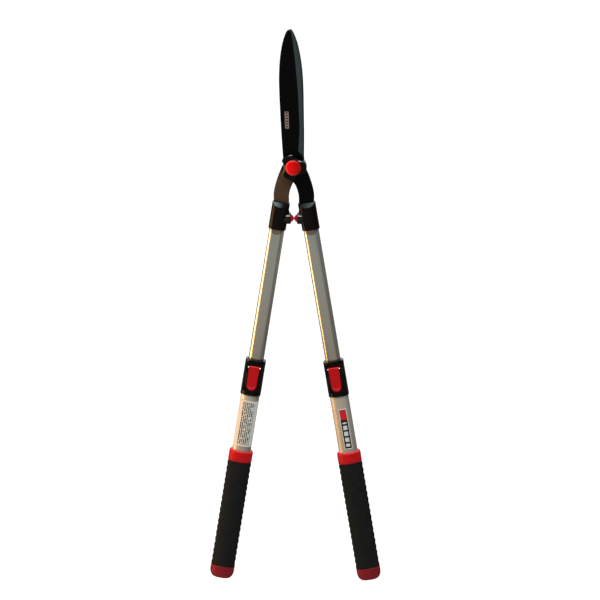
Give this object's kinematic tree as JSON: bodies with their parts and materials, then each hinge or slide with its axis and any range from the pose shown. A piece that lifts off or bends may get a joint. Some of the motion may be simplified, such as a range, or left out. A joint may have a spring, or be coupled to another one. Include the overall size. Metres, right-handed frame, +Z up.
{
  "type": "telescopic hedge shears",
  "caption": "Hedge shears with ground blades on a tension knob, rubber bumpers, oval telescopic handles with flip-lever locks, and long soft grips.",
  "frame": {"origin": "centre of the wall peg that the closed shears hang on, in the gap under the crotch of the blade arms, 39.4 mm below the pivot axis and in the plane between the blades", "axes": "+Z up along the closed blades, away from the grips; -Y towards the front, where the tension knob and the levers are; +X towards the handle of the front blade"},
  "size_m": [0.2602, 0.0325, 0.8538],
  "materials": {
    "coated_steel": "black low-friction coating on ground steel",
    "zinc_steel": "zinc plated",
    "anodised_aluminium": "satin anodised, extruded",
    "black_nylon": "moulded, fine texture",
    "red_plastic": "moulded, semi-gloss",
    "red_rubber": "moulded, matt",
    "grip_rubber": "moulded, matt and finely textured",
    "label_film": "printed film",
    "panel_film": "printed film"
  },
  "bodies": {
    "back_half": {"back_blade": "coated_steel", "pivot_bolt": "zinc_steel", "back_washer": "zinc_steel", "spring_washer": "zinc_steel", "left_ferrule": "black_nylon", "left_bumper": "red_rubber", "left_tang_plug": "black_nylon", "left_ferrule_screw_upper": "zinc_steel", "left_ferrule_screw_lower": "zinc_steel", "left_inner_tube": "anodised_aluminium", "left_slide_bush": "black_nylon"},
    "front_half": {"front_blade": "coated_steel", "right_ferrule": "black_nylon", "right_bumper": "red_rubber", "right_tang_plug": "black_nylon", "right_ferrule_screw_upper": "zinc_steel", "right_ferrule_screw_lower": "zinc_steel", "right_inner_tube": "anodised_aluminium", "right_slide_bush": "black_nylon"},
    "tension_knob": {"tension_knob": "black_nylon", "knob_cap": "red_plastic", "pivot_nut": "zinc_steel"},
    "left_slide": {"left_lock_housing": "black_nylon", "left_housing_screw": "zinc_steel", "left_lever_pin": "zinc_steel", "left_outer_tube": "anodised_aluminium", "left_label": "label_film", "left_grip_collar": "red_plastic", "left_grip_sleeve": "grip_rubber", "left_end_cap": "red_plastic"},
    "left_lever": {"left_lock_lever": "red_plastic"},
    "left_pad": {"left_lock_pad": "black_nylon"},
    "right_slide": {"right_lock_housing": "black_nylon", "right_housing_screw": "zinc_steel", "right_lever_pin": "zinc_steel", "right_outer_tube": "anodised_aluminium", "right_label": "panel_film", "right_grip_collar": "red_plastic", "right_grip_sleeve": "grip_rubber", "right_end_cap": "red_plastic"},
    "right_lever": {"right_lock_lever": "red_plastic"},
    "right_pad": {"right_lock_pad": "black_nylon"}
  },
  "joints": [
    {"name": "blade_pivot", "type": "hinge", "parent": "back_half", "child": "front_half", "pos_m": [0, 0, 0.0394], "axis": [0, -1, 0], "range_deg": [0, 70]},
    {"name": "tension_turn", "type": "hinge", "parent": "back_half", "child": "tension_knob", "pos_m": [0, 0, 0.0394], "axis": [0, -1, 0], "range_deg": [-180, 180]},
    {"name": "left_telescope", "type": "slide", "parent": "back_half", "child": "left_slide", "axis": [0.158, 0, 0.9874], "range_m": [0, 0.16]},
    {"name": "left_lever_turn", "type": "hinge", "parent": "left_slide", "child": "left_lever", "pos_m": [-0.05966, -0.0146, -0.27224], "axis": [-0.9874, 0, 0.158], "range_deg": [0, 100]},
    {"name": "left_pad_release", "type": "slide", "parent": "left_slide", "child": "left_pad", "axis": [0, -1, 0], "range_m": [0, 0.0005]},
    {"name": "right_telescope", "type": "slide", "parent": "front_half", "child": "right_slide", "axis": [-0.158, 0, 0.9874], "range_m": [0, 0.16]},
    {"name": "right_lever_turn", "type": "hinge", "parent": "right_slide", "child": "right_lever", "pos_m": [0.05966, -0.0146, -0.27224], "axis": [-0.9874, 0, -0.158], "range_deg": [0, 100]},
    {"name": "right_pad_release", "type": "slide", "parent": "right_slide", "child": "right_pad", "axis": [0, -1, 0], "range_m": [0, 0.0005]}
  ],
  "couplings": [
    {"joint": "left_pad_release", "follows": "left_lever_turn", "m_per_rad": 0.00028},
    {"joint": "right_pad_release", "follows": "right_lever_turn", "m_per_rad": 0.00028}
  ]
}
